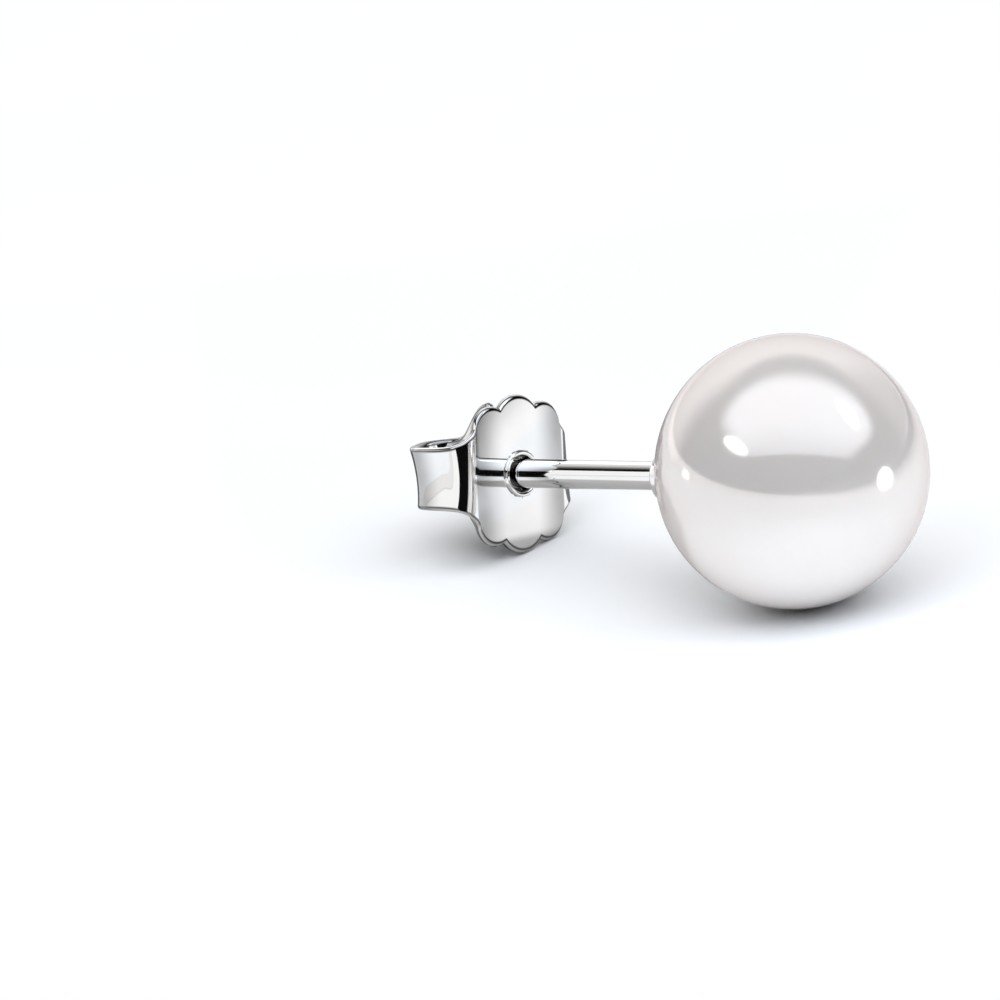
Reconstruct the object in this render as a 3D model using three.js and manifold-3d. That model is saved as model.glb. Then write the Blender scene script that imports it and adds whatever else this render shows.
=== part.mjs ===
// Pearl stud earring: a half-drilled pearl on a post with a bell cup, and a butterfly
// clutch on the post. Millimetres, +Z up. The stud lies as it would by itself, on its
// pearl and on the lower edge of its clutch, with +X along the stud toward the pearl.
//
// Each piece is first made in the stud's own frame: +X along the post toward the pearl,
// the origin at the middle of the clutch plate's front face, the clutch's arms along Y and
// its plate's height along Z.
import * as THREE from 'three';
import { mergeVertices } from 'three/addons/utils/BufferGeometryUtils.js';
import Module from 'manifold-3d';

// Pearl
const PEARL_RADIUS = 4.0;
const PEARL_X = 10.85; // centre of the pearl, from the clutch plate's front face
const PEARL_RISE = 0.2; // the drill hole lies this much under the pearl's centre
const DRILL_RADIUS = 0.43;
const DRILL_DEPTH = 3.0;
const PEARL_SEGMENTS = 44; // around the drill axis
const PEARL_BANDS = 23; // along it

// Post, cup and peg
const POST_RADIUS = 0.42;
const POST_TIP_X = -3.15; // 10 mm from the pearl's surface
const POST_TIP_ROUND = 0.14;
const CUP_FACE_OFF = 4.98; // back of the cup, from the pearl's centre
const CUP_NECK_RADIUS = 0.82;
const CUP_RIM_RADIUS = 1.5;
const SEAT_GAP = 0.05; // between the cup's seat and the pearl
const PEG_RADIUS = 0.38;
const PEG_END_OFF = 1.25; // end of the peg, from the pearl's centre
const POST_SEGMENTS = 28;

// Clutch: a strip of sheet
const SHEET = 0.27;
const EDGE_ROUND = 0.08; // rounding of the cut edges
const HOLE_RADIUS = 0.54;
const RIM_RADIUS = 0.675; // raised rim around the hole
const RIM_HEIGHT = 0.1;
const RIM_ROUND = 0.06;
const HOLE_SEGMENTS = 32;
const FLAT_HALF = 1.72; // half length of the flat plate, along Y
const BEND_RADIUS = 0.5; // at the middle of the sheet
const ROLL_X = -1.72; // centre of the curl
const ROLL_RADIUS = 0.8; // at the middle of the sheet
const ARM_END_X = -0.38;
const SADDLE = 0.09; // the curl is narrower in the middle than at its edges by this
const ACROSS = 6; // facets across the strip

// Scalloped edge of the plate: a round lobe in the middle and one on each side
const MID_LOBE = { half: 0.71, peak: 2.3, foot: 1.96 };
const SIDE_LOBE = { at: 1.05, height: 1.35, radius: 0.68 };

// Half height of the strip along each arm. s is the length along the middle of the sheet,
// counted from the middle of the plate.
const ARM_SECTIONS = [
  { s: 1.72, half: 1.42 },
  { s: 1.8, half: 1.3 },
  { s: 1.9, half: 1.21 },
  { s: 2.11, half: 1.06 },
  { s: 2.51, half: 0.95 },
  { s: 3, half: 0.92 },
  { s: 3.59, half: 0.91 },
  { s: 4.19, half: 0.905 },
  { s: 4.6, half: 0.94 },
  { s: 5, half: 0.99 },
  { s: 5.4, half: 1.02 },
  { s: 5.8, half: 1.05 },
  { s: 6.16, half: 1.1 },
  { s: 6.36, half: 1.22 },
  { s: 6.52, half: 1.42 },
  { s: 6.67, half: 1.64 },
  { s: 6.82, half: 1.83 },
  { s: 6.98, half: 1.98 },
  { s: 7.14, half: 2.07 },
  { s: 7.28, half: 2.1 },
  { s: 7.37, half: 2.05 },
  { s: 7.42, half: 1.94 },
  { s: 7.443, half: 1.8 },
];

// The attitude in which the stud lies: the post dips toward the clutch, and the stud is
// turned about the post so that the clutch stands on two points of its edge
const REST_PITCH = 8.11; // degrees
const REST_ROLL = 14.7; // degrees, the -Y side up

const wasm = await Module();
wasm.setup();

// ---- solids ----------------------------------------------------------------

function toSolid(geometry) {
  const plain = geometry.index ? geometry.toNonIndexed() : geometry.clone();
  for (const name of Object.keys(plain.attributes)) if (name !== 'position') plain.deleteAttribute(name);
  const merged = mergeVertices(plain, 1e-5);
  return new wasm.Manifold(new wasm.Mesh({
    numProp: 3,
    vertProperties: new Float32Array(merged.attributes.position.array),
    triVerts: new Uint32Array(merged.index.array),
  }));
}

function toGeometry(solid) {
  const mesh = solid.getMesh();
  const points = [];
  for (let i = 0; i < mesh.vertProperties.length; i += mesh.numProp) {
    points.push(mesh.vertProperties[i], mesh.vertProperties[i + 1], mesh.vertProperties[i + 2]);
  }
  const geometry = new THREE.BufferGeometry();
  geometry.setAttribute('position', new THREE.Float32BufferAttribute(points, 3));
  geometry.setIndex(Array.from(mesh.triVerts));
  geometry.computeVertexNormals();
  return geometry;
}

// A solid of revolution about the X axis from a profile of [x, radius] that starts and ends
// on the axis, with x increasing
function turned(profile, segments) {
  const geometry = new THREE.LatheGeometry(profile.map(([x, r]) => new THREE.Vector2(r, x)), segments);
  geometry.rotateZ(-Math.PI / 2);
  return geometry;
}

function arcPoints(cx, cr, radius, from, to, steps) {
  const points = [];
  for (let i = 0; i <= steps; i += 1) {
    const a = THREE.MathUtils.degToRad(from + ((to - from) * i) / steps);
    points.push([cx + radius * Math.cos(a), cr + radius * Math.sin(a)]);
  }
  return points;
}

// ---- pearl -----------------------------------------------------------------

function makePearl() {
  const ball = new THREE.SphereGeometry(PEARL_RADIUS, PEARL_SEGMENTS, PEARL_BANDS);
  ball.rotateZ(Math.PI / 2);
  ball.rotateX(THREE.MathUtils.degToRad(REST_ROLL) + Math.PI / PEARL_SEGMENTS); // it lies on a facet
  ball.translate(PEARL_X, 0, PEARL_RISE);
  const from = PEARL_X - PEARL_RADIUS - 1;
  const to = PEARL_X - PEARL_RADIUS + DRILL_DEPTH;
  const drill = turned([[from, 0], [from, DRILL_RADIUS], [to, DRILL_RADIUS], [to + 0.25, 0]], 20);
  return toGeometry(toSolid(ball).subtract(toSolid(drill)));
}

// ---- post, cup and peg -----------------------------------------------------

function makePost() {
  const face = PEARL_X - CUP_FACE_OFF;
  const rimX = PEARL_X - Math.sqrt(PEARL_RADIUS ** 2 - CUP_RIM_RADIUS ** 2) - 0.06;
  const tip = arcPoints(POST_TIP_X + POST_TIP_ROUND, POST_RADIUS - POST_TIP_ROUND, POST_TIP_ROUND, 180, 90, 4);
  const neckEnd = face + 0.55;
  const bell = [];
  for (let i = 0; i <= 6; i += 1) {
    const t = i / 6;
    const ease = t * t * (3 - 2 * t);
    bell.push([neckEnd + (rimX - neckEnd) * t, CUP_NECK_RADIUS + 0.1 + (CUP_RIM_RADIUS - CUP_NECK_RADIUS - 0.1) * ease]);
  }
  const outline = [
    [POST_TIP_X, 0],
    ...tip,
    [face - 0.05, POST_RADIUS],
    [face - 0.015, POST_RADIUS + 0.02],
    [face, POST_RADIUS + 0.06],
    ...arcPoints(face + 0.08, CUP_NECK_RADIUS - 0.08, 0.08, 180, 90, 3),
    ...bell,
    [rimX + 0.04, CUP_RIM_RADIUS + 0.02],
    [rimX + 0.4, CUP_RIM_RADIUS - 0.02],
    [rimX + 0.4, 0],
  ];
  const body = toSolid(turned(outline, POST_SEGMENTS));
  const hollow = new THREE.SphereGeometry(PEARL_RADIUS + SEAT_GAP, 48, 36);
  hollow.rotateZ(Math.PI / 2);
  hollow.translate(PEARL_X, 0, PEARL_RISE);
  const pegStart = PEARL_X - PEARL_RADIUS - 0.4;
  const pegEnd = PEARL_X - PEG_END_OFF;
  const peg = turned([
    [pegStart, 0],
    [pegStart, PEG_RADIUS],
    [pegEnd - 0.1, PEG_RADIUS],
    [pegEnd, PEG_RADIUS - 0.1],
    [pegEnd, 0],
  ], 16);
  return toGeometry(body.subtract(toSolid(hollow)).add(toSolid(peg)));
}

// ---- butterfly clutch ------------------------------------------------------

const BEND_LENGTH = (BEND_RADIUS * Math.PI) / 2;
const BACK_LENGTH = -SHEET / 2 - BEND_RADIUS - ROLL_X;
const ROLL_LENGTH = ROLL_RADIUS * Math.PI;
const ARM_LENGTH = FLAT_HALF + BEND_LENGTH + BACK_LENGTH + ROLL_LENGTH + ARM_END_X - ROLL_X;

// Middle of the sheet at length s along the +Y arm, and the direction out of its front face
function sheetAt(s) {
  const middleX = -SHEET / 2;
  const wallY = FLAT_HALF + BEND_RADIUS;
  let rest = s;
  if (rest <= FLAT_HALF) return { x: middleX, y: rest, nx: 1, ny: 0 };
  rest -= FLAT_HALF;
  if (rest <= BEND_LENGTH) {
    const a = rest / BEND_RADIUS;
    return {
      x: middleX - BEND_RADIUS + BEND_RADIUS * Math.cos(a),
      y: FLAT_HALF + BEND_RADIUS * Math.sin(a),
      nx: Math.cos(a),
      ny: Math.sin(a),
    };
  }
  rest -= BEND_LENGTH;
  if (rest <= BACK_LENGTH) return { x: middleX - BEND_RADIUS - rest, y: wallY, nx: 0, ny: 1 };
  rest -= BACK_LENGTH;
  if (rest <= ROLL_LENGTH) {
    const a = rest / ROLL_RADIUS;
    return {
      x: ROLL_X - ROLL_RADIUS * Math.sin(a),
      y: wallY - ROLL_RADIUS + ROLL_RADIUS * Math.cos(a),
      nx: -Math.sin(a),
      ny: Math.cos(a),
    };
  }
  rest -= ROLL_LENGTH;
  return { x: ROLL_X + rest, y: wallY - 2 * ROLL_RADIUS, nx: 0, ny: -1 };
}

function halfHeight(s) {
  if (s <= MID_LOBE.half) {
    const rise = MID_LOBE.peak - MID_LOBE.foot;
    const radius = (MID_LOBE.half ** 2 + rise ** 2) / (2 * rise);
    return MID_LOBE.peak - radius + Math.sqrt(radius ** 2 - s ** 2);
  }
  if (s < ARM_SECTIONS[0].s) {
    const { at, height, radius } = SIDE_LOBE;
    return height + Math.sqrt(Math.max(radius ** 2 - (s - at) ** 2, 0));
  }
  const last = ARM_SECTIONS.length - 1;
  for (let i = 0; i < last; i += 1) {
    const a = ARM_SECTIONS[i];
    const b = ARM_SECTIONS[i + 1];
    if (s <= b.s) return a.half + ((b.half - a.half) * (s - a.s)) / (b.s - a.s);
  }
  return ARM_SECTIONS[last].half;
}

// How far the sheet is dished at length s: none on the plate and at the arm's end
function dish(s) {
  const rise = THREE.MathUtils.smoothstep(s, FLAT_HALF + 0.2, FLAT_HALF + BEND_LENGTH + 0.3);
  const fall = 1 - THREE.MathUtils.smoothstep(s, 4.9, 6.1);
  return SADDLE * rise * fall;
}

// Lengths at which the strip is cut into facets
function stations() {
  const list = [0, 0.14, 0.28, 0.42, 0.54, 0.64, MID_LOBE.half, 0.8, 0.92, 1.05, 1.2, 1.34, 1.46, 1.56, 1.64, 1.695];
  const bends = [
    { from: FLAT_HALF, to: FLAT_HALF + BEND_LENGTH, steps: 7 },
    { from: FLAT_HALF + BEND_LENGTH, to: FLAT_HALF + BEND_LENGTH + BACK_LENGTH, steps: 2 },
    { from: FLAT_HALF + BEND_LENGTH + BACK_LENGTH, to: ARM_LENGTH + ROLL_X - ARM_END_X, steps: 14 },
  ];
  for (const { from, to, steps } of bends) for (let i = 0; i < steps; i += 1) list.push(from + ((to - from) * i) / steps);
  const start = ARM_LENGTH + ROLL_X - ARM_END_X;
  list.push(start);
  for (const { s } of ARM_SECTIONS) if (s > start + 0.03 && s < ARM_LENGTH - 0.002) list.push(s);
  list.push(ARM_LENGTH);
  return list;
}

// Section of the strip, rounded at both edges: [height, offset from the middle of the sheet]
function section(half) {
  const flat = half - EDGE_ROUND;
  const face = SHEET / 2;
  const d = EDGE_ROUND * Math.SQRT1_2;
  const points = [];
  for (let i = 0; i <= ACROSS; i += 1) points.push([flat * ((2 * i) / ACROSS - 1), face]);
  points.push([flat + d, face - EDGE_ROUND + d], [half, face - EDGE_ROUND]);
  points.push([half, EDGE_ROUND - face], [flat + d, EDGE_ROUND - face - d]);
  for (let i = 0; i <= ACROSS; i += 1) points.push([flat * (1 - (2 * i) / ACROSS), -face]);
  points.push([-flat - d, EDGE_ROUND - face - d], [-half, EDGE_ROUND - face]);
  points.push([-half, face - EDGE_ROUND], [-flat - d, face - EDGE_ROUND + d]);
  return points;
}

function makeStrip() {
  const half = stations();
  const all = [...half.slice(1).reverse().map((s) => -s), ...half];
  const positions = [];
  for (const s of all) {
    const side = s < 0 ? -1 : 1;
    const { x, y, nx, ny } = sheetAt(Math.abs(s));
    const h = halfHeight(Math.abs(s));
    const depth = dish(Math.abs(s));
    for (const [z, offset] of section(h)) {
      const out = offset + depth * ((z / h) ** 2 - 0.5);
      positions.push(x + nx * out, side * (y + ny * out), z);
    }
  }
  const ring = section(1).length;
  const indices = [];
  for (let i = 0; i + 1 < all.length; i += 1) {
    for (let j = 0; j < ring; j += 1) {
      const k = (j + 1) % ring;
      const a = i * ring + j;
      const b = i * ring + k;
      const c = (i + 1) * ring + k;
      const d = (i + 1) * ring + j;
      indices.push(a, c, b, a, d, c);
    }
  }
  // the two cut ends, closed between the front and the back face
  const closeEnd = (base, flip) => {
    const face = [];
    for (let j = 0; j < ring; j += 1) face.push(base + j);
    const corners = section(1).map(([z, offset]) => new THREE.Vector2(z, offset));
    for (const [a, b, c] of THREE.ShapeUtils.triangulateShape(corners, [])) {
      if (flip) indices.push(face[a], face[c], face[b]);
      else indices.push(face[a], face[b], face[c]);
    }
  };
  closeEnd(0, true);
  closeEnd((all.length - 1) * ring, false);
  const geometry = new THREE.BufferGeometry();
  geometry.setAttribute('position', new THREE.Float32BufferAttribute(positions, 3));
  geometry.setIndex(indices);
  return geometry;
}

function makeClutch() {
  const strip = toSolid(makeStrip());
  const rim = turned([
    [-SHEET / 2, 0],
    [-SHEET / 2, RIM_RADIUS],
    ...arcPoints(RIM_HEIGHT - RIM_ROUND, RIM_RADIUS - RIM_ROUND, RIM_ROUND, 90, 0, 3),
    [RIM_HEIGHT, 0],
  ], HOLE_SEGMENTS);
  const hole = turned([
    [-SHEET - 0.05, 0],
    [-SHEET - 0.05, HOLE_RADIUS],
    [RIM_HEIGHT - 0.04, HOLE_RADIUS],
    [RIM_HEIGHT + 0.02, HOLE_RADIUS + 0.05],
    [RIM_HEIGHT + 0.1, HOLE_RADIUS + 0.05],
    [RIM_HEIGHT + 0.1, 0],
  ], HOLE_SEGMENTS);
  return toGeometry(strip.add(toSolid(rim)).subtract(toSolid(hole)));
}

// ---- assembly --------------------------------------------------------------

const nacre = new THREE.MeshStandardMaterial({ name: 'pearl_nacre', color: 0xece8e6, roughness: 0.18, metalness: 0 });
const silver = new THREE.MeshStandardMaterial({ name: 'polished_silver', color: 0xd9d9d8, roughness: 0.06, metalness: 1 });
const silverSheet = new THREE.MeshStandardMaterial({ name: 'polished_silver_sheet', color: 0xdcdcdb, roughness: 0.06, metalness: 1 });

function piece(name, geometry, material) {
  const mesh = new THREE.Mesh(geometry, material);
  mesh.name = name;
  return mesh;
}

const stud = new THREE.Group();
stud.add(piece('pearl', makePearl(), nacre));
stud.add(piece('post_cup', makePost(), silver));
stud.add(piece('butterfly_clutch', makeClutch(), silverSheet));

const rolled = new THREE.Group();
rolled.rotation.x = -THREE.MathUtils.degToRad(REST_ROLL);
rolled.add(stud);

const laid = new THREE.Group();
laid.rotation.y = -THREE.MathUtils.degToRad(REST_PITCH);
laid.add(rolled);

const earring = new THREE.Group();
earring.name = 'pearl_stud_earring';
earring.add(laid);
earring.updateMatrixWorld(true);

// Stand it on the ground plane, its box centred over the origin
const box = new THREE.Box3().setFromObject(earring, true);
laid.position.set(-(box.min.x + box.max.x) / 2, -(box.min.y + box.max.y) / 2, -box.min.z);
earring.updateMatrixWorld(true);

export default earring;
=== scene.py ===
import math

import bpy
import bmesh
from mathutils import Matrix, Vector


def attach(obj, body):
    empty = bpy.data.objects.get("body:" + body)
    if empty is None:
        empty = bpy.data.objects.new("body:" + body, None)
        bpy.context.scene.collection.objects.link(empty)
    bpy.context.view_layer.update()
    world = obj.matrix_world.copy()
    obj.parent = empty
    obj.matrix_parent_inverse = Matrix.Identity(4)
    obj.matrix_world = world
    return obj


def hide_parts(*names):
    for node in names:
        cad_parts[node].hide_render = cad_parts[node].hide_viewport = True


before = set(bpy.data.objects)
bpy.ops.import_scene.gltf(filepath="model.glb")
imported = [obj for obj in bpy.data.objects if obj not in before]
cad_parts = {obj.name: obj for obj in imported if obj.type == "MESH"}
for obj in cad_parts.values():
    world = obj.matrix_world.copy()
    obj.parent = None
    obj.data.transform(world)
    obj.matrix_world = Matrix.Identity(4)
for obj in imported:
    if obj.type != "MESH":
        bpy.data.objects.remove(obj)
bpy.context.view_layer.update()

MM = 0.001
FILL = 0.73
SOFT_TOP, SOFT_FRONT = 1.2, 0.75
BACK_WALL = 0.8
POOL = 2.5

# ---------------------------------------------------------------- the stud's own frame
# +X along the post toward the pearl, the origin on the clutch plate's front face, in mm.
REST_PITCH = math.radians(8.11)
REST_ROLL = math.radians(14.7)
PLACE = Vector((-5.777988, -0.050752, 2.259928))
TURN = Matrix.Rotation(-REST_PITCH, 3, "Y") @ Matrix.Rotation(-REST_ROLL, 3, "X")


def to_row(p):
    return (TURN @ Vector(p) + PLACE) * MM


# ---------------------------------------------------------------- camera
VIEW_TURN, VIEW_RISE, VIEW_TWIST, VIEW_ROLL = (math.radians(a) for a in (44.0, 2.0, 2.6, -0.9))
PX_PER_MM = 34.75
PEARL_PX = (792.3, 471.3)
CAMERA_FAR = 1.2
PEARL_R = 3.981
PEARL_X = 10.85
PEARL_RISE = 0.2
pearl_centre = to_row((PEARL_X, 0, PEARL_RISE))

level = Matrix.Rotation(VIEW_TWIST, 3, "X")
back = Vector((math.sin(VIEW_TURN) * math.cos(VIEW_RISE), -math.cos(VIEW_TURN) * math.cos(VIEW_RISE), math.sin(VIEW_RISE)))
right = Vector((math.cos(VIEW_TURN), math.sin(VIEW_TURN), 0))
up = back.cross(right)
right, up = (
    math.cos(VIEW_ROLL) * right + math.sin(VIEW_ROLL) * up,
    math.cos(VIEW_ROLL) * up - math.sin(VIEW_ROLL) * right,
)
back, right, up = (TURN @ (level.transposed() @ v) for v in (back, right, up))

cam_data = bpy.data.cameras.new("camera")
cam_data.sensor_width = 36.0
cam_data.lens = 36.0 * CAMERA_FAR / (1000.0 / PX_PER_MM * MM)
cam_data.clip_start, cam_data.clip_end = 0.01, 20.0
cam = bpy.data.objects.new("camera", cam_data)
bpy.context.scene.collection.objects.link(cam)
aim = pearl_centre - right * ((PEARL_PX[0] - 500) / PX_PER_MM * MM) + up * ((PEARL_PX[1] - 500) / PX_PER_MM * MM)
cam.location = aim + back * CAMERA_FAR
cam.rotation_mode = "QUATERNION"
cam.rotation_quaternion = Matrix((right, up, back)).transposed().to_quaternion()
bpy.context.scene.camera = cam


# ---------------------------------------------------------------- mesh helpers
def make_object(name, verts, faces, smooth_angle=40):
    mesh = bpy.data.meshes.new(name)
    mesh.from_pydata([tuple(to_row(v)) for v in verts], [], faces)
    mesh.validate()
    mesh.update()
    for p in mesh.polygons:
        p.use_smooth = True
    mesh.set_sharp_from_angle(angle=math.radians(smooth_angle))
    obj = bpy.data.objects.new(name, mesh)
    bpy.context.scene.collection.objects.link(obj)
    return obj


def rings_to_mesh(rings):
    """Closes a row of rings of points into one skin. A ring of one point is a pole."""
    verts, faces, starts = [], [], []
    for ring in rings:
        starts.append(len(verts))
        verts.extend(ring)
    for a, b, i, j in zip(rings, rings[1:], starts, starts[1:]):
        if len(a) == 1:
            n = len(b)
            faces += [(i, j + (k + 1) % n, j + k) for k in range(n)]
        elif len(b) == 1:
            n = len(a)
            faces += [(i + k, i + (k + 1) % n, j) for k in range(n)]
        else:
            n = len(a)
            faces += [(i + k, i + (k + 1) % n, j + (k + 1) % n, j + k) for k in range(n)]
    return verts, faces


def arc(cx, cr, r, a0, a1, n):
    out = []
    for i in range(n + 1):
        a = math.radians(a0 + (a1 - a0) * i / n)
        out.append((cx + r * math.cos(a), cr + r * math.sin(a)))
    return out


def circle(x, r, n):
    """A ring round the post's axis; x may be a number or a function of the point."""
    if r <= 0:
        return [(x(0, 0) if callable(x) else x, 0.0, 0.0)]
    ring = []
    for k in range(n):
        a = 2 * math.pi * k / n
        y, z = r * math.cos(a), r * math.sin(a)
        ring.append((x(y, z) if callable(x) else x, y, z))
    return ring


def smooth(t):
    t = min(max(t, 0.0), 1.0)
    return t * t * (3 - 2 * t)


# ---------------------------------------------------------------- pearl
def make_pearl():
    around, hole, depth, lip = 192, 0.43, 3.0, 0.04
    axis_tilt = math.asin(PEARL_RISE / PEARL_R)
    pole = Vector((-math.cos(axis_tilt), 0, -math.sin(axis_tilt)))
    side = Vector((0, 1, 0))
    other = pole.cross(side)
    rings = []

    def on_ball(angle, radius):
        ring = []
        for k in range(around):
            a = 2 * math.pi * k / around
            d = pole * math.cos(angle) + (side * math.cos(a) - other * math.sin(a)) * math.sin(angle)
            ring.append((PEARL_X + d.x * radius, d.y * radius, PEARL_RISE + d.z * radius))
        return ring

    start = math.asin((hole + lip) / PEARL_R)
    rings.append([(PEARL_X - PEARL_R + depth, 0.0, 0.0)])
    rings.append(circle(PEARL_X - PEARL_R + depth - 0.12, hole, around))
    for t in (0.8, 0.6, 0.4, 0.2, 0.06):
        rings.append(circle(PEARL_X - PEARL_R + depth * t, hole, around))
    for f in (0.85, 0.55, 0.25):
        rings.append(circle(PEARL_X - PEARL_R + 0.02 + lip * f, hole + lip * (1 - math.sqrt(1 - (1 - f) ** 2)), around))
    rows = 128
    for i in range(rows):
        rings.append(on_ball(start + (math.pi - start) * i / rows, PEARL_R))
    end = on_ball(math.pi, PEARL_R)[0]
    rings.append([end])
    verts, faces = rings_to_mesh(rings)
    return make_object("pearl_ball", verts, faces, 60)


# ---------------------------------------------------------------- post, cup and peg
POST_R = 0.42
TIP_X = -3.15
CUP_FACE = PEARL_X - 4.98


def make_post():
    n = 128
    gap = 0.05
    seat_r = 4.0 + gap

    def seat(y, z):
        return PEARL_X - math.sqrt(seat_r ** 2 - y ** 2 - (z - PEARL_RISE) ** 2)

    rim_x = PEARL_X - math.sqrt(16 - 1.5 ** 2) - 0.06
    profile = [(TIP_X, 0.0), (TIP_X, 0.14)]
    profile += arc(TIP_X + 0.16, POST_R - 0.16, 0.16, 180, 90, 10)
    for i in range(1, 24):
        profile.append((TIP_X + 0.16 + (CUP_FACE - 0.12 - TIP_X - 0.16) * i / 24, POST_R))
    profile += [(x, POST_R + 0.09 - math.sqrt(max(0.0081 - (x - CUP_FACE + 0.09) ** 2, 0))) for x in
                (CUP_FACE - 0.09, CUP_FACE - 0.07, CUP_FACE - 0.05, CUP_FACE - 0.03, CUP_FACE - 0.015, CUP_FACE - 0.006, CUP_FACE - 0.0015)]
    profile.append((CUP_FACE, 0.60))
    profile.append((CUP_FACE, 0.72))
    profile += arc(CUP_FACE + 0.09, 0.82 - 0.09, 0.09, 180, 96, 8)
    x0 = CUP_FACE + 0.1
    for i in range(1, 25):
        t = i / 24
        profile.append((x0 + (rim_x - x0) * t, 0.825 + 0.075 * t + (1.5 - 0.9) * smooth(t) * t))
    profile += [(rim_x + 0.03, 1.505), (rim_x + 0.055, 1.49)]
    rings = [circle(x, r, n) for x, r in profile]
    for r in (1.47, 1.4, 1.25, 1.0, 0.75, 0.55, 0.44):
        rings.append(circle(seat, r, n))
    rings.append(circle(lambda y, z: seat(y, z) + 0.01, 0.395, n))
    peg_end = PEARL_X - 1.25
    rings.append(circle(PEARL_X - 4.0 + 0.05, 0.38, n))
    for t in (0.3, 0.6, 0.9):
        rings.append(circle(PEARL_X - 4.0 + (4.0 - 1.25) * t, 0.38, n))
    rings += [circle(x, r, n) for x, r in arc(peg_end - 0.1, 0.28, 0.1, 90, 0, 5)]
    rings.append([(peg_end, 0.0, 0.0)])
    verts, faces = rings_to_mesh(rings)
    return make_object("post_cup_peg", verts, faces, 50)


# ---------------------------------------------------------------- butterfly clutch
SHEET = 0.27
EDGE = 0.11
HOLE_R = 0.54
RIM_R = 0.675
RIM_H = 0.08
FLAT = 1.72
BEND_R = 0.5
ROLL_R = 0.8
ROLL_X = -1.72
END_X = -0.38
SADDLE = 0.09
CROWN = math.radians(3.0)  # the plate is slightly crowned along its length
SECTIONS = [
    (1.72, 1.42), (1.8, 1.3), (1.9, 1.21), (2.11, 1.06), (2.51, 0.95), (3.0, 0.92), (3.59, 0.91), (4.19, 0.905),
    (4.6, 0.94), (5.0, 0.99), (5.4, 1.02), (5.8, 1.05), (6.16, 1.1), (6.36, 1.22), (6.52, 1.42), (6.67, 1.64),
    (6.82, 1.83), (6.98, 1.98), (7.14, 2.07), (7.28, 2.1), (7.37, 2.05), (7.42, 1.94), (7.443, 1.8),
]
BEND_LEN = BEND_R * math.pi / 2
BACK_LEN = -SHEET / 2 - BEND_R - ROLL_X
ROLL_LEN = ROLL_R * math.pi
ARM_LEN = FLAT + BEND_LEN + BACK_LEN + ROLL_LEN + END_X - ROLL_X


def curve_through(points):
    """A monotone smooth curve through a table of points."""
    xs = [p[0] for p in points]
    ys = [p[1] for p in points]
    d = [(ys[i + 1] - ys[i]) / (xs[i + 1] - xs[i]) for i in range(len(xs) - 1)]
    m = [d[0]] + [0 if d[i - 1] * d[i] <= 0 else 2 * d[i - 1] * d[i] / (d[i - 1] + d[i]) for i in range(1, len(d))] + [d[-1]]

    def value(x):
        x = min(max(x, xs[0]), xs[-1])
        i = max(k for k in range(len(xs) - 1) if xs[k] <= x)
        h = xs[i + 1] - xs[i]
        t = (x - xs[i]) / h
        return ((1 + 2 * t) * (1 - t) ** 2 * ys[i] + t * (1 - t) ** 2 * h * m[i]
                + t * t * (3 - 2 * t) * ys[i + 1] + t * t * (t - 1) * h * m[i + 1])

    return value


arm_half = curve_through(SECTIONS)


def half_height(s):
    if s <= 0.71:
        rise = 2.3 - 1.96
        radius = (0.71 ** 2 + rise ** 2) / (2 * rise)
        return 2.3 - radius + math.sqrt(radius ** 2 - s ** 2)
    if s < 1.715:
        return 1.35 + math.sqrt(max(0.68 ** 2 - (s - 1.05) ** 2, 0))
    return arm_half(s)


def turning(s):
    """Angle of the sheet's outward direction from +X at length s along the +Y arm, in radians."""
    if s <= FLAT:
        return CROWN * s / FLAT
    knots = [(FLAT, CROWN), (FLAT + 0.745, math.radians(84)), (FLAT + BEND_LEN + BACK_LEN + 0.105, math.radians(97.5)),
             (FLAT + BEND_LEN + BACK_LEN + ROLL_LEN, math.radians(270)), (ARM_LEN + 1, math.radians(270))]
    for (s0, w0), (s1, w1) in zip(knots, knots[1:]):
        if s <= s1:
            return w0 + (w1 - w0) * (s - s0) / (s1 - s0)
    return math.radians(270)


def eased(s):
    """The turning angle averaged over a short length, so the sheet has no sudden change of bend."""
    reach = min(0.12, s)
    return sum(turning(s + reach * k / 4) for k in range(-4, 5)) / 9


def walk_arm():
    step, x, y, out = 0.005, -SHEET / 2, 0.0, []
    for i in range(int(ARM_LEN / step) + 3):
        w = eased(i * step)
        out.append((x, y, w))
        m = eased((i + 0.5) * step)
        x -= math.sin(m) * step
        y += math.cos(m) * step
    return step, out


ARM_STEP, ARM_PATH = walk_arm()


def sheet_at(s):
    """Middle of the sheet and its outward direction at length s along the +Y arm."""
    i = min(int(s / ARM_STEP), len(ARM_PATH) - 2)
    t = s / ARM_STEP - i
    x, y, w = (p + (q - p) * t for p, q in zip(ARM_PATH[i], ARM_PATH[i + 1]))
    return x, y, math.cos(w), math.sin(w)


def dish(s):
    return SADDLE * smooth((s - FLAT - 0.2) / (BEND_LEN + 0.1)) * (1 - smooth((s - 4.9) / 1.2))


def lean_back(s, side, z):
    """The arms are not rolled quite square to the plate: how far the sheet is moved along +X at height z."""
    share = smooth((s - FLAT) / 0.95) * (1 - smooth((s - 4.5) / 1.5))
    return share * ((0.15 if side < 0 else 0.08) - 0.13 * z)


def stations():
    out = []
    knots = [0, 0.71, 1.05, 1.45, 1.62, 1.70, 1.76, 2.11, FLAT + BEND_LEN, FLAT + BEND_LEN + BACK_LEN,
             FLAT + BEND_LEN + BACK_LEN + ROLL_LEN, 7.1, 7.37, ARM_LEN]
    steps = [22, 10, 12, 8, 8, 8, 14, 14, 16, 56, 28, 12, 8]
    for a, b, n in zip(knots, knots[1:], steps):
        out += [a + (b - a) * i / n for i in range(n)]
    return out + [ARM_LEN]


COLUMNS, CORNER = 56, 5


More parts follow.
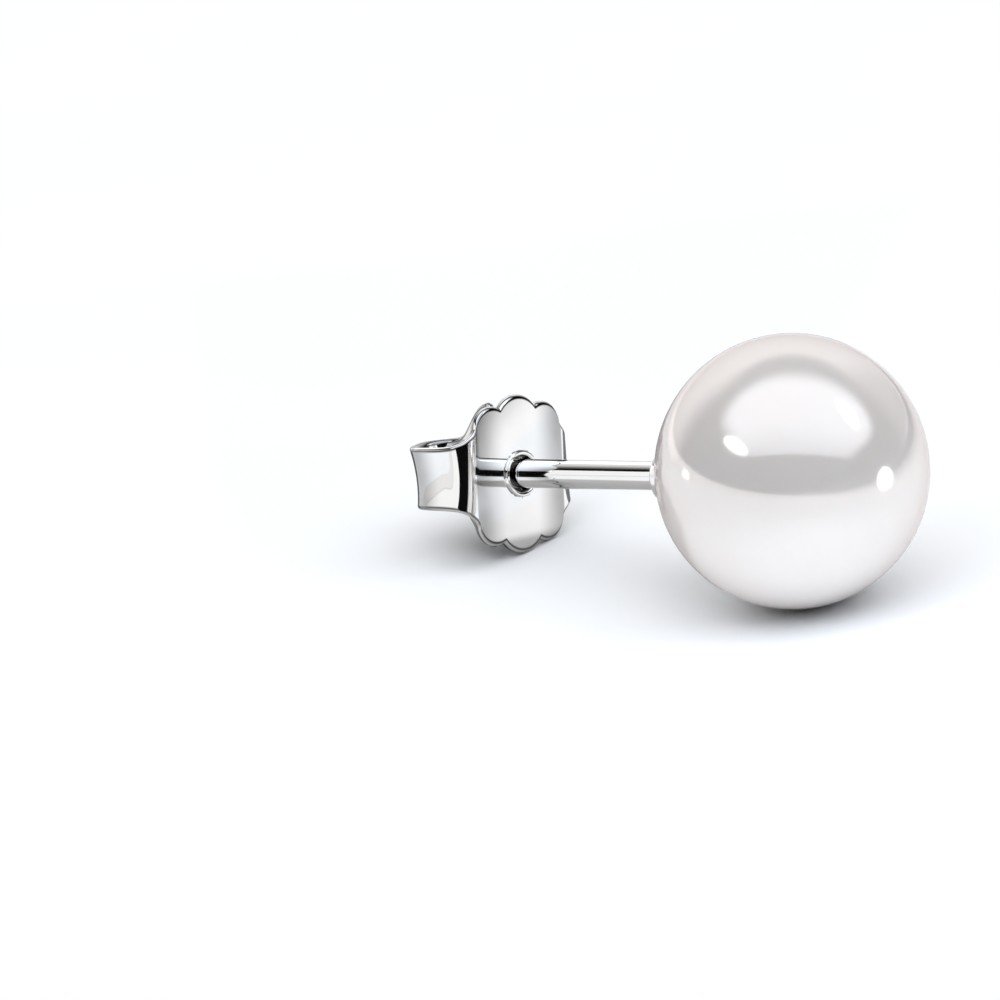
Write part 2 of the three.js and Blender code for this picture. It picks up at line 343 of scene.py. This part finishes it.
def section(half):
    """Points (z, offset, painted shade) round the sheet's section. The painted shade is 1 where the face meets the
    rounded edge, a dark line standing in for shade in the crease.
    """
    flat, face = half - EDGE, SHEET / 2
    turn = [math.radians(90 * k / CORNER) for k in range(1, CORNER)]
    shade = (0.75, 0.0, 0.0, 0.0)
    inner = flat - 0.075
    row = [(-flat, 1.0), (-flat + 0.022, 0.55), (-flat + 0.045, 0.0)]
    row += [(inner * (2 * i / COLUMNS - 1), 0.0) for i in range(COLUMNS + 1)]
    row += [(flat - 0.045, 0.0), (flat - 0.022, 0.55), (flat, 1.0)]
    pts = [(z, face, c) for z, c in row]
    pts += [(flat + EDGE * math.sin(a), face - EDGE + EDGE * math.cos(a), c) for a, c in zip(turn, shade)]
    pts += [(half, face - EDGE, 0.1), (half, EDGE - face, 0.9)]
    pts += [(flat + EDGE * math.cos(a), EDGE - face - EDGE * math.sin(a), 0.6) for a in turn]
    pts += [(-z, -face, c) for z, c in row]
    pts += [(-flat - EDGE * math.sin(a), EDGE - face - EDGE * math.cos(a), 0.6) for a in turn]
    pts += [(-half, EDGE - face, 0.9), (-half, face - EDGE, 0.1)]
    pts += [(-flat - EDGE * math.cos(a), face - EDGE + EDGE * math.sin(a), c) for a, c in zip(turn, reversed(shade))]
    return pts


def make_clutch():
    half = stations()
    rings, painted_shade = [], []
    for s in [-v for v in reversed(half[1:])] + half:
        side = -1 if s < 0 else 1
        x, y, nx, ny = sheet_at(abs(s))
        h, d = half_height(abs(s)), dish(abs(s))
        ring = []
        end = (abs(s) - (ARM_LEN - EDGE)) / EDGE  # the cut end is rounded too
        thin = math.sqrt(max(1 - end ** 2, 0.0)) if end > 0 else 1.0
        length = abs(s)
        # painted shade: the front face darkens towards the plate's sides and again from the arm's back straight into
        # the roll, standing in for dimmer reflections
        if length < FLAT + 0.05:
            haze_and_painted_fade = 0.58 * smooth((length - 0.55) / 1.2)
        else:
            haze_and_painted_fade = 0.62 * smooth((length - 2.95) / 0.95)
        for z, off, c in section(h):
            painted_shade.append(max(c, haze_and_painted_fade * (1 if off > 0.1 else 0)))
            inner = SHEET / 2 - EDGE
            if abs(off) > inner:
                off = math.copysign(inner + (abs(off) - inner) * thin, off)
            o = off + d * ((z / h) ** 2 - 0.5)
            ring.append((x + nx * o + lean_back(length, side, z), side * (y + ny * o), z))
        rings.append(ring)
    verts, faces, n = [], [], len(rings[0])
    for ring in rings:
        verts += ring
    for i in range(len(rings) - 1):
        faces += [(i * n + k, (i + 1) * n + k, (i + 1) * n + (k + 1) % n, i * n + (k + 1) % n) for k in range(n)]
    # the two cut ends are closed by strips between the front and the back
    half_n = n // 2
    for base, flip in ((0, False), ((len(rings) - 1) * n, True)):
        loop = list(range(base, base + n))
        first = COLUMNS + 6 + CORNER  # middle of the top edge
        order = loop[first:] + loop[:first]
        for k in range(half_n - 1):
            quad = (order[k], order[k + 1], order[n - 2 - k], order[n - 1 - k])
            quad = tuple(dict.fromkeys(quad))
            if len(quad) > 2:
                faces.append(tuple(reversed(quad)) if flip else quad)
    strip = make_object("strip", verts, faces, 30)
    strip_painted_shade = painted_shade

    m = 96
    bead = [(-SHEET / 2, 0.0), (-SHEET / 2, RIM_R + 0.01), (-0.01, RIM_R + 0.01), (0.004, RIM_R + 0.003)]
    bead += [(0.018, RIM_R + 0.0015), (0.03, RIM_R + 0.0005)]
    bead += arc(RIM_H - 0.045, RIM_R - 0.045, 0.045, 90, 0, 8)
    bead += [(RIM_H, 0.0)]
    verts, faces = rings_to_mesh([circle(x, r, m) for x, r in bead])
    rim = make_object("rim", verts, faces, 30)
    bore = [(-SHEET - 0.2, 0.0), (-SHEET - 0.2, HOLE_R + 0.12), (-SHEET - 0.04, HOLE_R + 0.03)]
    lip = 0.045
    bore += [(-SHEET + 0.03, HOLE_R), (RIM_H - lip, HOLE_R)]
    bore += [(RIM_H - lip + lip * math.sin(math.radians(a)), HOLE_R + lip - lip * math.cos(math.radians(a)))
             for a in (15, 30, 45, 60, 74)]
    bore += [(RIM_H + 0.05, HOLE_R + 0.12), (RIM_H + 0.05, 0.0)]
    verts, faces = rings_to_mesh([circle(x, r, m) for x, r in bore])
    cutter = make_object("bore", verts, faces, 30)
    for tool, how in ((rim, "UNION"), (cutter, "DIFFERENCE")):
        mod = strip.modifiers.new(how, "BOOLEAN")
        mod.operation, mod.object, mod.solver = how, tool, "EXACT"
    dg = bpy.context.evaluated_depsgraph_get()
    mesh = bpy.data.meshes.new_from_object(strip.evaluated_get(dg))
    bm = bmesh.new()  # welds the slivers that the cuts leave
    bm.from_mesh(mesh)
    bmesh.ops.remove_doubles(bm, verts=bm.verts, dist=1e-6)
    bm.to_mesh(mesh)
    bm.free()
    # painted shade per vertex, dark lines standing in for shade: 1 in the creases, by the strip's own points and by the
    # rim's foot and lip
    known = {tuple(round(c * 1e7) for c in v.co): w for v, w in zip(strip.data.vertices, strip_painted_shade)}
    painted_shade_layer = mesh.attributes.new("painted_shade", "FLOAT", "POINT")
    undo = TURN.transposed()
    for v in mesh.vertices:
        w = known.get(tuple(round(c * 1e7) for c in v.co))
        if w is None:
            q = undo @ (v.co / MM - PLACE)
            r = math.hypot(q.y, q.z)
            w = 0.0
            # painted shade: near black at the rim's foot where it meets the plate and inside the hole's lip
            if q.x > -0.02 and r < RIM_R + 0.1:
                w = 0.9 if r > RIM_R + 0.005 and q.x < 0.003 else 0.0
            if q.x < RIM_H - 0.03 and r < HOLE_R + 0.04:
                w = 1.0
        painted_shade_layer.data[v.index].value = w
    obj = bpy.data.objects.new("clutch_sheet", mesh)
    bpy.context.scene.collection.objects.link(obj)
    for o in (strip, rim, cutter):
        bpy.data.objects.remove(o)
    for p in mesh.polygons:
        p.use_smooth = True
    mesh.set_sharp_from_angle(angle=math.radians(32))
    weight = obj.modifiers.new("weighted", "WEIGHTED_NORMAL")
    weight.keep_sharp = True
    weight.weight = 60
    return obj


pearl = make_pearl()
post = make_post()
clutch = make_clutch()


# ---------------------------------------------------------------- materials
def new_material(name):
    mat = bpy.data.materials.new(name)
    mat.use_nodes = True
    nt = mat.node_tree
    return mat, nt, nt.nodes["Principled BSDF"]


def add(nt, kind, **values):
    node = nt.nodes.new(kind)
    for key, value in values.items():
        if hasattr(node, key):
            setattr(node, key, value)
        else:
            node.inputs[key.replace("_", " ")].default_value = value
    return node


def ramp(nt, source, stops):
    node = nt.nodes.new("ShaderNodeValToRGB")
    while len(node.color_ramp.elements) < len(stops):
        node.color_ramp.elements.new(0.5)
    for el, (pos, col) in zip(node.color_ramp.elements, stops):
        el.position = pos
        el.color = (*col, 1)
    nt.links.new(source, node.inputs["Fac"])
    return node


def scaled(v, k):
    return tuple(c * k for c in v)


def nacre():
    mat, nt, b = new_material("pearl_nacre")
    co = add(nt, "ShaderNodeTexCoord").outputs["Object"]
    # slow drift of body colour and overtone through the layers
    cloud = add(nt, "ShaderNodeTexNoise", Scale=260.0, Detail=3.0, Roughness=0.45)
    nt.links.new(co, cloud.inputs["Vector"])
    body = ramp(nt, cloud.outputs["Fac"], [(0.3, (0.905, 0.862, 0.836)), (0.5, (0.915, 0.878, 0.858)), (0.72, (0.91, 0.866, 0.84))])
    nt.links.new(body.outputs["Color"], b.inputs["Base Color"])
    fine = add(nt, "ShaderNodeTexNoise", Scale=5200.0, Detail=4.0, Roughness=0.6)
    nt.links.new(co, fine.inputs["Vector"])
    rough = add(nt, "ShaderNodeMapRange", From_Min=0.3, From_Max=0.7, To_Min=0.085, To_Max=0.125)
    nt.links.new(fine.outputs["Fac"], rough.inputs["Value"])
    nt.links.new(rough.outputs["Result"], b.inputs["Roughness"])
    # growth lines and a faint orange peel
    slow = add(nt, "ShaderNodeTexNoise", Scale=900.0, Detail=2.0, Roughness=0.5)
    nt.links.new(co, slow.inputs["Vector"])
    bump = add(nt, "ShaderNodeBump", Strength=0.035, Distance=0.00006)
    nt.links.new(slow.outputs["Fac"], bump.inputs["Height"])
    bump2 = add(nt, "ShaderNodeBump", Strength=0.03, Distance=0.00001)
    nt.links.new(fine.outputs["Fac"], bump2.inputs["Height"])
    nt.links.new(bump.outputs["Normal"], bump2.inputs["Normal"])
    nt.links.new(bump2.outputs["Normal"], b.inputs["Normal"])
    b.inputs["IOR"].default_value = 1.52
    b.inputs["Metallic"].default_value = 0.34
    b.inputs["Specular Tint"].default_value = (0.55, 0.5, 0.48, 1)
    b.inputs["Sheen Weight"].default_value = 0.1
    b.inputs["Sheen Roughness"].default_value = 0.45
    b.inputs["Sheen Tint"].default_value = (1.0, 0.72, 0.62, 1)
    b.inputs["Subsurface Weight"].default_value = 0.2
    b.inputs["Subsurface Radius"].default_value = (1.0, 0.8, 0.7)
    b.inputs["Subsurface Scale"].default_value = 0.0004
    return mat


def silver(name, tone, scratch_scale):
    mat, nt, b = new_material(name)
    co = add(nt, "ShaderNodeTexCoord").outputs["Object"]
    tint = add(nt, "ShaderNodeTexNoise", Scale=700.0, Detail=2.0)
    nt.links.new(co, tint.inputs["Vector"])
    col = ramp(nt, tint.outputs["Fac"], [(0.3, scaled(tone, 0.97)), (0.7, tone)])
    # painted shade: the per-vertex shade attribute mixes the base colour toward near black, made patchy by the tone
    # noise
    painted_shade_node = add(nt, "ShaderNodeAttribute", attribute_name="painted_shade")
    patchy = add(nt, "ShaderNodeMapRange", From_Min=0.3, From_Max=0.6, To_Min=0.75, To_Max=1.0)
    nt.links.new(tint.outputs["Fac"], patchy.inputs["Value"])
    depth = add(nt, "ShaderNodeMath", operation="MULTIPLY")
    nt.links.new(painted_shade_node.outputs["Fac"], depth.inputs[0])
    nt.links.new(patchy.outputs["Result"], depth.inputs[1])
    dark = add(nt, "ShaderNodeMix", data_type="RGBA")
    nt.links.new(depth.outputs[0], dark.inputs["Factor"])
    nt.links.new(col.outputs["Color"], dark.inputs[6])
    dark.inputs[7].default_value = (0.03, 0.028, 0.026, 1)
    nt.links.new(dark.outputs[2], b.inputs["Base Color"])
    # polishing haze: very fine, with a few hairlines
    haze_and_painted_fade = add(nt, "ShaderNodeTexNoise", Scale=3000.0, Detail=5.0, Roughness=0.65)
    nt.links.new(co, haze_and_painted_fade.inputs["Vector"])
    rough = add(nt, "ShaderNodeMapRange", From_Min=0.35, From_Max=0.75, To_Min=0.035, To_Max=0.085)
    nt.links.new(haze_and_painted_fade.outputs["Fac"], rough.inputs["Value"])
    nt.links.new(rough.outputs["Result"], b.inputs["Roughness"])
    stretch = add(nt, "ShaderNodeMapping")
    stretch.inputs["Scale"].default_value = scratch_scale
    nt.links.new(co, stretch.inputs["Vector"])
    hair = add(nt, "ShaderNodeTexNoise", Scale=1.0, Detail=6.0, Roughness=0.7)
    nt.links.new(stretch.outputs["Vector"], hair.inputs["Vector"])
    bump = add(nt, "ShaderNodeBump", Strength=0.02, Distance=0.000004)
    nt.links.new(hair.outputs["Fac"], bump.inputs["Height"])
    nt.links.new(bump.outputs["Normal"], b.inputs["Normal"])
    b.inputs["Metallic"].default_value = 1.0
    return mat


nacre_mat = nacre()
post_mat = silver("polished_silver", (0.93, 0.927, 0.92), (500.0, 9000.0, 9000.0))
sheet_mat = silver("polished_silver_sheet", (0.94, 0.937, 0.93), (9000.0, 2500.0, 900.0))
for obj, mat, node, body in (
    (pearl, nacre_mat, "pearl", "stud"),
    (post, post_mat, "post_cup", "stud"),
    (clutch, sheet_mat, "butterfly_clutch", "clutch"),
):
    obj.data.materials.clear()
    obj.data.materials.append(mat)
    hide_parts(node)
    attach(obj, body)

# ---------------------------------------------------------------- floor
bpy.ops.mesh.primitive_plane_add(size=6.0, location=(0, 0, -0.00001))
floor = bpy.context.object
floor.name = "floor"
fmat, fnt, fb = new_material("floor_paper")
fco = add(fnt, "ShaderNodeTexCoord").outputs["Object"]
fnoise = add(fnt, "ShaderNodeTexNoise", Scale=90.0, Detail=3.0)
fnt.links.new(fco, fnoise.inputs["Vector"])
fcol = ramp(fnt, fnoise.outputs["Fac"], [(0.3, (0.92, 0.945, 0.967)), (0.7, (0.934, 0.957, 0.977))])
fnt.links.new(fcol.outputs["Color"], fb.inputs["Base Color"])
fb.inputs["Roughness"].default_value = 0.7
fb.inputs["Specular IOR Level"].default_value = 0.2
floor.data.materials.append(fmat)

# ---------------------------------------------------------------- light
# Directions below are fixed in the room: fb runs level from the stud toward the front of the
# set, fr level toward its right-hand side.
fb = Vector((back.x, back.y, 0)).normalized()
fr = Vector((-fb.y, fb.x, 0))
centre = Vector((0.002, 0, 0.004))
# the light hangs level with the picture, which is turned a few degrees from the floor that the stud lies on
tip = math.asin(back.z)
room_up = up * math.cos(tip) + back * math.sin(tip)
room_fb = back * math.cos(tip) - up * math.sin(tip)


def heading(azimuth, elevation):
    az, el = math.radians(azimuth), math.radians(elevation)
    return fb * (math.cos(el) * math.cos(az)) + fr * (math.cos(el) * math.sin(az)) + Vector((0, 0, math.sin(el)))


def area(name, azimuth, elevation, distance, size, radiance, lean=0.0, tint=(1, 1, 1), shape="RECTANGLE"):
    data = bpy.data.lights.new(name, "AREA")
    data.shape = shape
    data.size, data.size_y = size
    data.energy = radiance * math.pi * size[0] * size[1] * (math.pi / 4 if shape == "ELLIPSE" else 1)
    data.color = tint
    obj = bpy.data.objects.new(name, data)
    bpy.context.scene.collection.objects.link(obj)
    d = heading(azimuth, elevation)
    obj.location = centre + d * distance
    x = Vector((0, 0, 1)).cross(d)
    x = x.normalized() if x.length > 1e-4 else fr
    y = d.cross(x)
    c, s = math.cos(math.radians(lean)), math.sin(math.radians(lean))
    x, y = x * c + y * s, y * c - x * s
    obj.rotation_mode = "QUATERNION"
    obj.rotation_quaternion = Matrix((x, y, d)).transposed().to_quaternion()
    obj.visible_camera = False
    return obj


fill = area("fill_overhead", 0, 90, 0.9, (1.8, 1.8), FILL)
fill.visible_glossy = False
fill.data.color = (1.0, 0.932, 0.882)
spot_left = area("lamp_front_left", -59, 36.5, 0.6, (0.27, 0.10), 2.6, lean=-10, shape="ELLIPSE")
spot_right = area("lamp_upper_right", 81, 41.5, 0.6, (0.11, 0.25), 1.7, lean=-26, shape="ELLIPSE")
lamp_left = area("lamp_left", -102, 1.2, 0.6, (0.085, 0.05), 3.0, shape="ELLIPSE")
lamp_right = area("lamp_right", 84, -9, 0.009, (0.0033, 0.0030), 2.5, shape="ELLIPSE")
spot = right * 0.667 - up * 0.053 + back * 0.743  # where it shows on the ball
lamp_right.location = pearl_centre + spot * 0.004 + (2 * spot.dot(back) * spot - back) * 0.009
ball = bpy.data.collections.new("ball")
ball.objects.link(pearl)
lamp_right.light_linking.receiver_collection = ball
lamp_left.light_linking.receiver_collection = ball

# a bounce card on the left that is flagged off the pearl, and a pool of light on the paper
metal = bpy.data.collections.new("metal")
for piece in (post, clutch):
    metal.objects.link(piece)
card_left = area("card_left", -78, 17.7, 0.6, (1.5, 0.233), 0.98)
face = (room_fb * math.cos(math.radians(-78)) + right * math.sin(math.radians(-78))) * math.cos(math.radians(11.1)) + room_up * math.sin(math.radians(11.1))
along = room_up.cross(face).normalized()
card_left.location = to_row((-0.5, -1.5, 0)) + face * 0.6
card_left.rotation_quaternion = Matrix((along, face.cross(along), face)).transposed().to_quaternion()
card_left.light_linking.receiver_collection = metal
card_back = area("card_back", -163, 23.0, 0.6, (0.30, 0.22), 0.6)
card_back.light_linking.receiver_collection = metal
paper = bpy.data.collections.new("paper")
paper.objects.link(floor)
pool = area("pool", 0, 90, 0.05, (0.007, 0.007), POOL, shape="ELLIPSE")
pool.location = Vector((pearl_centre.x, pearl_centre.y, 0.009)) + fb * 0.0082
pool.data.color = (0.93, 1.0, 1.09)
pool.visible_glossy = False
pool.light_linking.receiver_collection = paper


def reflection_card(name, corners, near, far, edges):
    """A sheet on the floor that shows in polished surfaces only. Corners are mm toward the front and the
    right of the clutch. Its grey is far inside all the edges and near outside them; an edge is a direction
    and the two distances along it, in mm, between which the grey changes."""
    base = to_row((0, 0, 0))
    mesh = bpy.data.meshes.new(name)
    mesh.from_pydata([(*(base + fb * f * MM + fr * r * MM).xy, 0.00003) for f, r in corners], [], [range(len(corners))])
    obj = bpy.data.objects.new(name, mesh)
    bpy.context.scene.collection.objects.link(obj)
    mat, nt, shader = new_material(name)
    place = add(nt, "ShaderNodeTexCoord").outputs["Object"]
    inside = None
    for along, start, end in edges:
        run = add(nt, "ShaderNodeVectorMath", operation="DOT_PRODUCT")
        run.inputs[1].default_value = along
        nt.links.new(place, run.inputs[0])
        offset = base.dot(along)
        fade = add(nt, "ShaderNodeMapRange", interpolation_type="SMOOTHSTEP", From_Min=offset + start * MM, From_Max=offset + end * MM)
        fade.inputs["To Min"].default_value, fade.inputs["To Max"].default_value = 0.0, 1.0
        nt.links.new(run.outputs["Value"], fade.inputs["Value"])
        if inside is None:
            inside = fade.outputs["Result"]
        else:
            both = add(nt, "ShaderNodeMath", operation="MULTIPLY")
            nt.links.new(inside, both.inputs[0])
            nt.links.new(fade.outputs["Result"], both.inputs[1])
            inside = both.outputs[0]
    tone = ramp(nt, inside, [(0.0, (near, near, near)), (1.0, (far, far, far * 0.99))])
    nt.links.new(tone.outputs["Color"], shader.inputs["Base Color"])
    shader.inputs["Roughness"].default_value = 0.8
    mesh.materials.append(mat)
    obj.visible_camera = obj.visible_diffuse = obj.visible_shadow = obj.visible_transmission = False
    return obj


reflection_card("card_behind", [(-2.6, -8), (-2.6, 3), (-3.0, 7), (-5, 8), (-12, 9), (-26, 13), (-26, -9), (-12, -9)], 0.14, 0.14, [(-fb, 0, 40)])
reflection_card("card_right", [(400, 22), (400, 40), (-200, 40), (-200, 22)], 0.97, 0.5, [(fr, 24, 37)])
reflection_card("card_far_right", [(400, 39.9), (400, 900), (-200, 900), (-200, 39.9)], 0.5, 0.03, [(fr, 40, 47)])
reflection_card("card_under_post", [(-2.4, -12), (-2.4, 9), (7, 9), (7, -12)], 0.93, 0.48,
                [(fb * 0.72 - fr * 0.69, -2.4, -1.0), (-fb * 0.72 + fr * 0.69, -7.0, -4.5), (-fb, -6.9, -5.5), (fr, -11, -6), (-fr, -8.5, -4.5)])

world = bpy.data.worlds.new("studio")
bpy.context.scene.world = world
world.use_nodes = True
wn = world.node_tree
bg = wn.nodes["Background"]
wdir = add(wn, "ShaderNodeTexCoord").outputs["Generated"]


def wmath(op, a, b=None, clamp=False):
    node = wn.nodes.new("ShaderNodeMath")
    node.operation = op
    node.use_clamp = clamp
    for socket, v in zip(node.inputs, (a, b)):
        if v is None:
            continue
        if isinstance(v, (int, float)):
            socket.default_value = v
        else:
            wn.links.new(v, socket)
    return node.outputs[0]


def wdot(vec):
    node = add(wn, "ShaderNodeVectorMath", operation="DOT_PRODUCT")
    node.inputs[1].default_value = vec
    wn.links.new(wdir, node.inputs[0])
    return node.outputs["Value"]


def wstep(v, lo, hi, to_lo=0.0, to_hi=1.0):
    """Smooth step from to_lo at lo to to_hi at hi; lo may be the larger one."""
    node = wn.nodes.new("ShaderNodeMapRange")
    node.interpolation_type = "SMOOTHSTEP"
    wn.links.new(v, node.inputs["Value"])
    if lo > hi:
        lo, hi, to_lo, to_hi = hi, lo, to_hi, to_lo
    for key, val in (("From Min", lo), ("From Max", hi), ("To Min", to_lo), ("To Max", to_hi)):
        node.inputs[key].default_value = val
    return node.outputs["Result"]


def product(*terms):
    out = terms[0]
    for t in terms[1:]:
        out = wmath("MULTIPLY", out, t)
    return out


def tinted(fac, colour):
    node = add(wn, "ShaderNodeVectorMath", operation="SCALE")
    node.inputs[0].default_value = colour
    wn.links.new(fac, node.inputs["Scale"])
    return node.outputs["Vector"]


fwd, side, rise = wdot(room_fb), wdot(right), wdot(room_up)
height = wmath("MAXIMUM", rise, 0.02)
box_x = wmath("DIVIDE", side, height)
box_y = wmath("DIVIDE", fwd, height)
away = wmath("ABSOLUTE", wmath("SUBTRACT", box_x, 0.28))
# ceiling softbox: a wide panel from above the front of the set to just behind the stud
round_off = wstep(wmath("ADD", wmath("MULTIPLY", away, 0.45), wmath("MULTIPLY", box_y, -1.0)), 0.95, 0.45)
softbox = product(wstep(away, 2.0, 1.25), wstep(box_y, 1.5, 1.44), wstep(box_y, -0.52, -0.12), round_off,
                  wstep(box_y, 1.5, 0.35, SOFT_FRONT, SOFT_TOP))
# pale wall behind the set, dark between it and the softbox
behind = product(wstep(fwd, -0.25, -0.7), wstep(rise, -0.02, 0.06, 0.75, 1.0), wstep(rise, 0.82, 0.62), wstep(side, 0.65, 0.3, 0.45, 1.0))
# dim sides of the room: worked out here but not added to the world's colour
sides = product(wstep(wmath("ABSOLUTE", side), 0.985, 0.999), wstep(rise, 0.3, 0.1))
total = None
low = wstep(rise, 0.006, -0.006)
for part in (tinted(softbox, (0.945, 1.0, 1.07)), tinted(wmath("MULTIPLY", behind, BACK_WALL), (1.0, 0.99, 0.985)), tinted(low, (0.86, 0.85, 0.84))):
    if total is None:
        total = part
    else:
        node = add(wn, "ShaderNodeVectorMath", operation="ADD")
        wn.links.new(total, node.inputs[0])
        wn.links.new(part, node.inputs[1])
        total = node.outputs["Vector"]
node = add(wn, "ShaderNodeVectorMath", operation="ADD")
wn.links.new(total, node.inputs[0])
node.inputs[1].default_value = (0.004, 0.004, 0.004)
wn.links.new(node.outputs["Vector"], bg.inputs["Color"])
bg.inputs["Strength"].default_value = 1.0

bpy.context.scene.view_settings.view_transform = "Standard"
bpy.context.scene.view_settings.look = "None"
